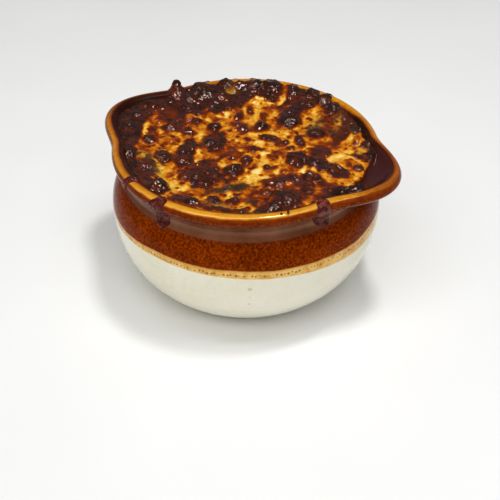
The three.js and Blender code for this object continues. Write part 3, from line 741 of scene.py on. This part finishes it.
def stoneware_material():
    n = Nodes("stoneware_glaze")
    run = n.attribute("run")
    axes = n.add("ShaderNodeSeparateXYZ")
    n.link(n.place, axes.inputs[0])
    x, y, z = (axes.outputs[axis] for axis in "XYZ")

    # The lines between the glazes waver. Heights here are in millimetres above each line.
    waver = n.waver(0.9, 110, 3)
    height = n.minus(n.math("DIVIDE", z, MM), waver)
    over_top = n.minus(height, n.attribute("band_top"))
    over_foot = n.minus(height, n.attribute("band_foot"))

    mottle = n.noise(900, 3, 0.7)
    broad = n.noise(60, 3)
    brown = n.ramp(
        n.plus(n.times(mottle, 0.85), n.times(broad, 0.15)),
        [(0.34, srgb(64, 16, 0)), (0.47, srgb(108, 36, 0)), (0.62, srgb(150, 60, 0))],
    )
    cream = n.ramp(
        n.plus(n.times(n.noise(30, 2), 0.7), n.times(n.noise(400, 2), 0.3)),
        [(0.35, srgb(235, 231, 202)), (0.6, srgb(244, 241, 223))],
    )
    tan = n.ramp(n.noise(260, 3), [(0.35, srgb(214, 154, 64)), (0.6, srgb(240, 196, 114))])
    tan = n.mix(n.fit(over_top, -1.6, -0.2, 0.0, 0.45), tan, srgb(198, 128, 34))
    tan = n.cover(tan, srgb(140, 82, 18), pinhole_row(n, x, y, over_top), 0.8)
    for place, size, strength in STAINS:
        away = n.plus(n.distance(place), n.times(waver, 0.6 * MM))
        cream = n.cover(cream, srgb(196, 150, 60), n.fit(away, size * MM, 0.3 * size * MM), strength)
    lower = n.mix(n.fit(over_foot, -0.25, 0.3), cream, tan)
    colour = n.mix(n.fit(over_top, -0.35, 0.35), lower, brown)

    # A grey-brown band on the neck, a painted reflection, the roll of the rim, darker towards its
    # underside as painted shade, and the dark inside. run is the way along the section in millimetres, 0 at
    # the crest, less than 0 outside it and more inside.
    neck_reflection_paint = n.ramp(broad, [(0.35, srgb(106, 62, 38)), (0.65, srgb(136, 90, 64))])
    colour = n.cover(colour, neck_reflection_paint, n.fit(run, -19.3, -18.9), n.fit(run, -6.2, -7.4), 0.85)
    across = n.plus(run, n.waver(1.6, 160, 4, 0.65))
    roll = n.ramp(n.noise(240, 3), [(0.35, srgb(92, 30, 0)), (0.62, srgb(124, 48, 0))])
    # The roll darkens towards its underside: painted shade.
    roll = n.mix(n.fit(across, -3.2, -5.4), roll, srgb(70, 20, 0))
    colour = n.cover(colour, roll, n.fit(across, -5.2, -2.6), 0.85)
    dark = n.ramp(n.noise(90, 3), [(0.35, srgb(34, 13, 8)), (0.55, srgb(54, 24, 13)), (0.7, srgb(80, 33, 7))])
    colour = n.mix(n.fit(run, 0.2, 1.2), colour, dark)

    # Films of burnt juice in the ears, placed along X and Y in metres, painted shade on the outer roll of
    # the -X ear, and burnt brown along the rim where its amber isn't clear.
    in_left = n.times(n.fit(x, -0.050, -0.057), n.fit(run, 0.4, 1.2))
    film = n.mix(n.fit(y, 0.002, -0.006), srgb(24, 7, 5), srgb(42, 17, 15))
    colour = n.cover(colour, film, in_left, 0.9)
    # The outer roll of the -X ear is darkened: painted shade.
    colour = n.cover(colour, srgb(46, 14, 4), n.fit(x, -0.060, -0.068), n.fit(run, -1.8, -2.6), 0.6)
    colour = n.cover(colour, srgb(62, 28, 29), n.fit(x, 0.054, 0.060), n.fit(run, 1.0, 2.4), 0.85)
    clear = n.attribute("clear")
    colour = n.cover(colour, srgb(38, 12, 8), n.fit(clear, 0.4, 0.12), n.fit(run, -5.0, -3.2), 0.8)

    # The amber line where the glaze ran thin over the crest, with rust along both its edges, painted shade
    # towards its inner side and a painted highlight along its outer edge.
    uneven = n.plus(clear, n.waver(0.35, 300, 3))
    rust = n.ramp(uneven, [(0.0, srgb(60, 20, 2)), (0.6, srgb(128, 56, 2)), (1.0, srgb(164, 84, 4))])
    amber = n.ramp(
        uneven,
        [
            (0.0, srgb(58, 16, 0)),
            (0.45, srgb(124, 55, 0)),
            (0.8, srgb(184, 110, 0)),
            (1.0, srgb(212, 146, 22)),
        ],
    )
    outer = n.minus(across, n.attribute("amber_start"))
    inner = n.minus(across, n.attribute("amber_end"))
    colour = n.cover(colour, rust, n.fit(outer, -0.8, 0.0), n.fit(inner, 1.6, 0.2))
    # Darker towards the crest's inner side: painted shade.
    amber = n.mix(n.fit(inner, -2.0, -0.4, 0.0, 0.45), amber, srgb(168, 96, 4))
    # A pale line along the outer edge of the clearest amber: painted highlight.
    amber = n.cover(amber, srgb(236, 184, 92), n.fit(outer, 1.5, 0.5), n.fit(clear, 0.92, 0.98, 0.0, 0.3))
    colour = n.cover(colour, amber, n.fit(outer, -0.35, 0.35), n.fit(inner, 0.5, -0.6))
    specks = n.fit(n.noise(800, 2, 0.4), 0.66, 0.7)
    colour = n.cover(colour, srgb(70, 26, 4), specks, n.fit(run, -1.0, 1.0))

    roughness = n.plus(n.fit(mottle, 0.3, 0.7, 0.05, 0.1), n.times(in_left, 0.3))
    n.set(Base_Color=colour, Roughness=roughness)
    body_gloss = n.fit(over_top, -0.5, 0.5, 0.2, 0.04)
    neck_gloss = n.times(n.fit(run, -20.8, -19.4, 0.0, 0.42), n.fit(run, -5.6, -6.6))
    roll_gloss = n.times(n.fit(run, -3.2, -2.4, 0.08, 0.7), n.fit(run, 1.0, 0.0, 0.1, 1.0))
    roll_gloss = n.times(roll_gloss, n.fit(run, -6.6, -5.6))
    gloss = n.math("MAXIMUM", body_gloss, n.math("MAXIMUM", neck_gloss, roll_gloss))
    n.set(Specular_IOR_Level=gloss, Specular_Tint=(1.0, 0.66, 0.46, 1.0))
    grain = n.bump(n.noise(700, 3), 0.00012, 0.4)
    n.set(Normal=n.bump(n.noise(45, 2), 0.0012, 0.3, grain))
    return n.material


def broth_material():
    n = Nodes("onion_broth")
    fat = n.fit(n.noise(160, 3), 0.55, 0.62)
    n.set(Base_Color=n.mix(fat, srgb(48, 18, 6), srgb(98, 48, 14)), Roughness=n.fit(fat, 0, 1, 0.12, 0.06))
    n.set(Normal=n.bump(n.noise(90, 2), 0.0006, 0.4))
    return n.material


def cheese_material():
    n = Nodes("broiled_cheese")
    shade = n.plus(n.attribute("tone"), n.waver(0.42, 700, 4, 0.65), clamp=True)
    colour = n.ramp(
        shade,
        [
            (0.02, srgb(240, 212, 140)),
            (0.12, srgb(230, 186, 84)),
            (0.22, srgb(214, 150, 32)),
            (0.34, srgb(182, 98, 4)),
            (0.46, srgb(134, 52, 0)),
            (0.58, srgb(94, 31, 1)),
            (0.7, srgb(66, 21, 4)),
            (0.83, srgb(44, 15, 6)),
            (1.0, srgb(28, 12, 7)),
        ],
    )
    dark = n.fit(shade, 0.55, 0.72)
    colour = n.cover(colour, srgb(112, 38, 6), dark, n.fit(n.noise(150, 3), 0.52, 0.66), 0.4)
    plum = n.fit(n.noise(110, 3, 0.6, n.moved(3.0)), 0.5, 0.62)
    colour = n.cover(colour, srgb(56, 28, 30), dark, plum, 0.6)
    skin = n.ramp(shade, [(0.2, srgb(196, 154, 50)), (0.55, srgb(88, 66, 26)), (0.82, srgb(38, 29, 14))])
    mottled = n.fit(n.noise(340, 3), 0.36, 0.5, 0.55, 1.0)
    colour = n.cover(colour, skin, n.attribute("olive"), mottled)
    n.set(Base_Color=colour, Roughness=n.fit(n.noise(500, 2), 0.3, 0.7, 0.08, 0.16))
    n.set(Specular_IOR_Level=n.fit(shade, 0.4, 0.75, 0.16, 0.38), Specular_Tint=(1.0, 0.74, 0.66, 1.0))
    bubbly = n.fit(shade, 0.45, 0.75, 0.1, 0.6)
    bubbles = n.bump(n.fit(n.cells(800), 0.6, 0.0), 0.00014, bubbly)
    n.set(Normal=n.bump(n.noise(1100, 3, 0.5), 0.00013, 0.5, bubbles))
    return n.material


def burnt_juice_material():
    n = Nodes("baked_on_juice")
    tone = n.plus(n.noise(420, 4, 0.6), n.times(n.attribute("bubbles"), 0.25))
    colour = n.ramp(tone, [(0.32, srgb(40, 8, 6)), (0.52, srgb(78, 24, 18)), (0.72, srgb(120, 52, 40))])
    n.set(Base_Color=colour, Roughness=n.fit(tone, 0.3, 0.7, 0.12, 0.07))
    n.set(Specular_IOR_Level=0.25, Specular_Tint=(1.0, 0.8, 0.75, 1.0))
    n.set(Normal=n.bump(n.noise(1300, 2), 0.0002, 0.4))
    return n.material


def floor_material():
    n = Nodes("pale_floor")
    n.set(Base_Color=n.ramp(n.noise(8, 2), [(0.3, (0.86, 0.86, 0.85, 1)), (0.7, (0.89, 0.89, 0.885, 1))]))
    n.set(Roughness=0.6)
    return n.material


# ---- Crock ----
CROCK_SECTORS = 240


def build_crock(material):
    outside = foot_profile() + body_profile() + cove_profile() + roll_profile()
    inside = inside_profile()
    floor = [np.array((FOOT_RADIUS - 10, FLOOR_TOP)), np.array((0, FLOOR_TOP))]
    profile = outside + inside + floor
    lengths = np.cumsum([0] + [float(np.hypot(*(b - a))) for a, b in zip(profile, profile[1:])])
    crest = max(range(len(outside)), key=lambda i: outside[i][1])

    bm = bmesh.new()
    for name in ("run", "within"):
        bm.verts.layers.float.new(name)
    tables = [(RIM_AMBER, ("amber_start", "amber_end", "clear")), (BAND, ("band_top", "band_foot"))]
    by_bearing = []
    for table, names in tables:
        bearings, *columns = zip(*table)
        layers = [bm.verts.layers.float.new(name) for name in names]
        by_bearing += [(layer, bearings, column) for layer, column in zip(layers, columns)]
    run, within = (bm.verts.layers.float[name] for name in ("run", "within"))
    verts = [bm.verts.new((radius, 0, z)) for radius, z in profile]
    for i, vert in enumerate(verts):
        vert[run] = lengths[i] - lengths[crest]
        vert[within] = float(i > crest)
    edges = [bm.edges.new(pair) for pair in zip(verts, verts[1:])]
    round_z = {"cent": (0, 0, 0), "axis": (0, 0, 1), "angle": 2 * math.pi}
    bmesh.ops.spin(bm, geom=verts + edges, steps=CROCK_SECTORS, use_merge=True, **round_z)
    bmesh.ops.remove_doubles(bm, verts=bm.verts, dist=1e-4)
    for vert in bm.verts:
        x, y, z = vert.co
        radius = math.hypot(x, y)
        if radius < 1:
            continue
        bearing = math.degrees(math.atan2(y, x))
        for layer, bearings, column in by_bearing:
            vert[layer] = np.interp(bearing, bearings, column)
        heights = EAR_INSIDE if vert[within] > 0.5 else EAR_OUTSIDE
        grown = radius + ear_growth(math.atan2(y, x)) * smooth(*heights, z)
        vert.co = (x * grown / radius, y * grown / radius, z)
    return finish_mesh(bm, "glazed_crock", material, ("crock",))


# ---- Cheese ----
def crust_edge(bearing):
    """Plan radius of the cheese: to the wall, over the back of the rim, and free in the +X ear."""
    wall = inner_wall(WALL_MEETING, bearing) + 0.3
    back = smooth(math.radians(58), math.radians(70), bearing)
    back = back * (1 - smooth(math.radians(140), math.radians(155), bearing))
    radius = mix(wall, BACK_EDGE, back)
    free = np.minimum(radius, free_edge(bearing) + 2)
    radius = mix(radius, free, smooth(*EAR_BLEND, in_ear(bearing, 1)))
    left = in_ear(bearing, -1)
    near = smooth(176, 196, np.degrees(bearing) % 360)
    filled = LEFT_EDGE + (LEFT_REACH + LEFT_NEAR_REACH * near) * left
    return mix(radius, np.minimum(radius, filled), smooth(0.05, 0.4, left))


def square_to_disc(u, v):
    """Maps a square from -1 to 1 onto the unit disc, cell by cell of even size."""
    swap = np.abs(v) > np.abs(u)
    a, b = np.where(swap, v, u), np.where(swap, u, v)
    ratio = np.divide(b, a, out=np.zeros_like(a), where=np.abs(a) > 1e-9)
    angle = np.where(swap, np.pi / 2 - ratio * np.pi / 4, ratio * np.pi / 4)
    return a * np.cos(angle), a * np.sin(angle)


def build_crust(material):
    bm = bmesh.new()
    bmesh.ops.create_grid(bm, x_segments=CRUST_STEPS, y_segments=CRUST_STEPS, size=1)
    square = np.array([vert.co[:2] for vert in bm.verts])
    u, v = square_to_disc(square[:, 0], square[:, 1])
    radius, bearing = np.hypot(u, v), np.arctan2(v, u)
    radius = radius * crust_edge(bearing)
    x, y = radius * np.cos(bearing), radius * np.sin(bearing)
    height, tone, olive = crust_fields(x, y)
    tones, greens = bm.verts.layers.float.new("tone"), bm.verts.layers.float.new("olive")
    for vert, px, py, pz, value, green in zip(bm.verts, x, y, height, tone, olive):
        vert.co = (px, py, pz)
        vert[tones] = value
        vert[greens] = green
    border = [edge for edge in bm.edges if edge.is_boundary]
    skirt = bmesh.ops.extrude_edge_only(bm, edges=border)["geom"]
    lower = [item for item in skirt if isinstance(item, bmesh.types.BMVert)]
    for vert in lower:
        angle = math.atan2(vert.co.y, vert.co.x)
        wall = float(inner_wall(CRUST_BOTTOM, angle))
        reach = min(math.hypot(vert.co.x, vert.co.y) - SKIRT_INSET, wall - WALL_GAP)
        vert.co = (reach * math.cos(angle), reach * math.sin(angle), CRUST_BOTTOM)
    bmesh.ops.holes_fill(bm, edges=[edge for edge in bm.edges if edge.is_boundary], sides=0)
    return finish_mesh(bm, "broiled_cheese_crust", material, ("cheese_crust",))


# ---- Burnt spire, crumbs and drips ----
# The spire: its foot, how far it leans along X and Y with each millimetre of height, its lowest and
# highest points, and rows of the part of the way up and the radius there.
SPIRE_FOOT = (-53.4, 21.4, 71.2)
SPIRE_LEAN = (-0.41, 0.67)
SPIRE_RANGE = (68.2, 78.55)
SPIRE_PROFILE = [
    (0, 0), (0.06, 6.8), (0.25, 6.2), (0.42, 5.2), (0.56, 4.6), (0.66, 3.6), (0.75, 2.7), (0.86, 2.6),
    (0.95, 1.7), (1, 0),
]
# Crumbs: place, half length, half width, turn in degrees.
CRUMBS = [(44.3, -41.0, 74.2, 1.4, 0.6, 120), (42.3, -43.4, 74.1, 0.7, 0.5, 0)]


def unit_ball(bm, subdivisions):
    """Adds a ball of radius 1 and gives back its points, as vertices and as places."""
    verts = bmesh.ops.create_icosphere(bm, subdivisions=subdivisions, radius=1)["verts"]
    return verts, np.array([vert.co for vert in verts])


def place_ball(verts, places, layer, tones):
    """Moves a ball's points to their places and gives each its tone."""
    for vert, place, tone in zip(verts, places, tones):
        vert.co = place
        vert[layer] = tone


def build_spire(material):
    """A burnt knob of cheese that stands up beside the left ear."""
    bm = bmesh.new()
    layer = bm.verts.layers.float.new("tone")
    verts, ball = unit_ball(bm, 6)
    ring = np.maximum(np.hypot(ball[:, 0], ball[:, 1]), 1e-6)
    part = np.arccos(np.clip(-ball[:, 2], -1, 1)) / math.pi
    z = mix(*SPIRE_RANGE, part)
    radius = np.interp(part, *zip(*SPIRE_PROFILE))
    x, y = ball[:, 0] / ring * radius, ball[:, 1] / ring * radius
    lump = 1 + 0.12 * cloud(x + 1.3 * z, y - 1.1 * z, 3.2, 61, 3)
    above = z - SPIRE_FOOT[2]
    axis_x, axis_y = (SPIRE_FOOT[k] + SPIRE_LEAN[k] * above for k in (0, 1))
    places = np.column_stack([axis_x + x * lump, axis_y + y * lump, z])
    tones = 0.8 + 0.14 * smooth(73, 76, z) + 0.06 * cloud(x, y + z, 2.5, 63, 2)
    place_ball(verts, places, layer, tones)
    return finish_mesh(bm, "burnt_spire", material)


def build_crumbs(material):
    """Burnt crumbs that stick to the rim."""
    bm = bmesh.new()
    layer = bm.verts.layers.float.new("tone")
    for x, y, z, length, width, turn in CRUMBS:
        verts, ball = unit_ball(bm, 3)
        a = math.radians(turn)
        lump = 1 + 0.25 * cloud(3 * ball[:, 0] + x, 3 * ball[:, 1] + ball[:, 2], 1.5, 71, 2)
        u, v = ball[:, 0] * length * lump, ball[:, 1] * width * lump
        across, along = u * math.cos(a) - v * math.sin(a), u * math.sin(a) + v * math.cos(a)
        places = np.column_stack([x + across, y + along, z + ball[:, 2] * width])
        place_ball(verts, places, layer, np.full(len(verts), SOOTY))
    return finish_mesh(bm, "rim_crumbs", material)


# Name, bearings and half widths from the cheese down to the low end, and the height of that end.
DRIPS = [
    (
        "drip_left",
        (-97.4, -96.8, -98.2, -100.2, -100.4, -99.4, -98.4),
        (2.8, 3.2, 4.4, 5.4, 5.6, 5.0, 3.4),
        57.6,
    ),
    (
        "drip_rear_left",
        (-115.4, -116.8, -118.6, -119.4),
        (2.2, 2.5, 2.4, 2.1, 1.8, 1.5, 1.2),
        67.5,
    ),
    (
        "drip_right",
        (-26.4, -27.2, -27.8, -27.6, -26.6, -24.8, -23.4),
        (3.4, 3.3, 3.4, 3.8, 4.5, 5.1, 4.6),
        58.8,
    ),
]
DRIP_THICKNESS = 0.75
DRIP_SUNK = 0.35
DRIP_BUBBLES = 260
DRIP_BUBBLE_SIZES = (0.4, 0.9)
DRIP_BUBBLE_RISE = 0.55
DRIP_SEED = 80


def rim_point(part, bearing, path):
    """A point of the crock's outside, by its part of the path and its bearing."""
    radius = np.interp(part, path[:, 0], path[:, 1])
    z = np.interp(part, path[:, 0], path[:, 2])
    radius = radius + ear_growth(bearing) * smooth(*EAR_OUTSIDE, z)
    return np.stack([radius * np.cos(bearing), radius * np.sin(bearing), z], -1)


def build_drip(name, bearings, widths, low, seed, material):
    """Thin baked-on juice that ran over the rim and down to the neck, full of small bubbles."""
    below = (body_profile()[-6:] + cove_profile())[::-1]
    section = [inside_profile()[0]] + roll_profile()[::-1] + [p for p in below if p[1] > low]
    steps = np.hypot(*np.diff(np.array(section), axis=0).T)
    along = np.concatenate([[0], np.cumsum(steps)])
    path = np.column_stack([along / along[-1], section])

    bm = bmesh.new()
    bmesh.ops.create_uvsphere(bm, u_segments=108, v_segments=110, radius=1)
    ball = np.array([vert.co for vert in bm.verts])
    part = np.arccos(np.clip(ball[:, 2], -1, 1)) / math.pi
    ring = np.maximum(np.hypot(ball[:, 0], ball[:, 1]), 1e-9)
    side, lift = ball[:, 0] / ring, ball[:, 1] / ring
    ends = (1 - np.abs(2 * part - 1) ** 6) ** 0.5
    ragged = 1 + 0.16 * cloud(9 * part, np.sign(side) * 3, 1.3, seed, 3)
    at = lambda row: np.interp(part, np.linspace(0, 1, len(row)), row)
    width = at(widths) * ends * ragged
    bearing = np.radians(at(bearings)) + side * width / RIM_RADIUS
    u, v = part * along[-1], side * width
    thick = DRIP_THICKNESS * ends * (0.75 + 0.25 * cloud(u, v, 2.5, seed + 1, 2))
    draw = np.random.RandomState(seed)
    rows = np.column_stack([draw.uniform(0, along[-1], DRIP_BUBBLES), draw.uniform(-6, 6, DRIP_BUBBLES)])
    bubbles = np.zeros_like(thick)
    for (cu, cv), size in zip(rows, draw.uniform(*DRIP_BUBBLE_SIZES, DRIP_BUBBLES)):
        bubbles = np.maximum(bubbles, DRIP_BUBBLE_RISE * size * dome(u, v, cu, cv, size))
    top = np.where(lift > 0, lift * (thick + bubbles * np.clip(2 * lift, 0, 1)), lift * DRIP_SUNK * ends)
    place = rim_point(part, bearing, path)
    step = 1e-3
    above, below = (rim_point(np.clip(part + way, 0, 1), bearing, path) for way in (-step, step))
    left, right = (rim_point(part, bearing + way, path) for way in (-step, step))
    normal = np.cross(below - above, right - left)
    normal /= np.maximum(np.linalg.norm(normal, axis=1, keepdims=True), 1e-12)
    place = place + normal * top[:, None]
    shade = bm.verts.layers.float.new("bubbles")
    for vert, point, value in zip(bm.verts, place, bubbles):
        vert.co = point
        vert[shade] = value
    return finish_mesh(bm, "baked_" + name, material, (name,))


# ---- Light, floor and camera ----
# Lights: place to the camera's right, behind the object and up, height aimed at, width, depth, watts,
# and whether they show in reflections. The front fill doesn't, so that it lays no haze on the glaze.
LIGHTS = [
    ("overhead", (0, -0.15, 1.0), 0.05, 1.1, 0.16, 3.0, True),
    ("lamp", (0.15, 0.02, 1.0), 0.05, 0.13, 0.13, 3.8, True),
    ("front_fill", (-0.2, -0.74, 1.02), 0.04, 1.8, 0.55, 5.9, False),
    ("front_shine", (-0.2, -0.74, 1.02), 0.04, 1.8, 0.4, 3.2, True),
]
SKY_STRENGTH = 0.2
FLOOR_REACH = 3


def area_light(name, place, target, width, depth, watts, glossy):
    light = bpy.data.lights.new(name, "AREA")
    light.shape = "RECTANGLE"
    light.size = width
    light.size_y = depth
    light.energy = watts
    lamp = bpy.data.objects.new(name, light)
    lamp.location = place
    lamp.visible_glossy = glossy
    lamp.rotation_euler = (Vector(target) - Vector(place)).to_track_quat("-Z", "Y").to_euler()
    bpy.context.collection.objects.link(lamp)


def turned(side, away, height):
    """A place from how far it is to the camera's right and behind the object, seen from the camera."""
    a = math.radians(EARS_TURN)
    return (side * math.cos(a) - away * math.sin(a), side * math.sin(a) + away * math.cos(a), height)


def build_stage():
    bm = bmesh.new()
    bmesh.ops.create_grid(bm, x_segments=8, y_segments=8, size=FLOOR_REACH)
    mesh = bpy.data.meshes.new("floor")
    bm.to_mesh(mesh)
    bm.free()
    mesh.materials.append(floor_material())
    floor = bpy.data.objects.new("floor", mesh)
    bpy.context.collection.objects.link(floor)
    floor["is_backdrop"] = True

    world = bpy.data.worlds.new("studio")
    world.use_nodes = True
    sky = world.node_tree.nodes["Background"]
    sky.inputs["Color"].default_value = (1, 1, 1, 1)
    sky.inputs["Strength"].default_value = SKY_STRENGTH
    bpy.context.scene.world = world
    for name, place, aim, *rest in LIGHTS:
        area_light(name, turned(*place), (0, 0, aim), *rest)


def build_camera():
    camera = bpy.data.cameras.new("camera")
    camera.lens = LENS
    camera.sensor_width = 36
    camera.clip_start = 0.01
    eye = bpy.data.objects.new("camera", camera)
    a = math.radians(EARS_TURN)
    eye.location = (CAMERA_DISTANCE * math.sin(a), -CAMERA_DISTANCE * math.cos(a), CAMERA_HEIGHT)
    eye.rotation_euler = (math.radians(90 - CAMERA_PITCH), 0, math.radians(EARS_TURN - CAMERA_YAW))
    bpy.context.collection.objects.link(eye)
    bpy.context.scene.camera = eye


# ---- Build ----
build_camera()
build_stage()
bpy.context.scene.view_settings.view_transform = "Standard"
build_crock(stoneware_material())
cheese = cheese_material()
build_crust(cheese)
build_spire(cheese)
build_crumbs(cheese)
juice = burnt_juice_material()
for number, row in enumerate(DRIPS):
    build_drip(*row, DRIP_SEED + number, juice)
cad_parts["soup"].data.materials[0] = broth_material()

{"cad": [list(corner) for corner in cad_box], "visual": [list(corner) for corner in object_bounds()]}
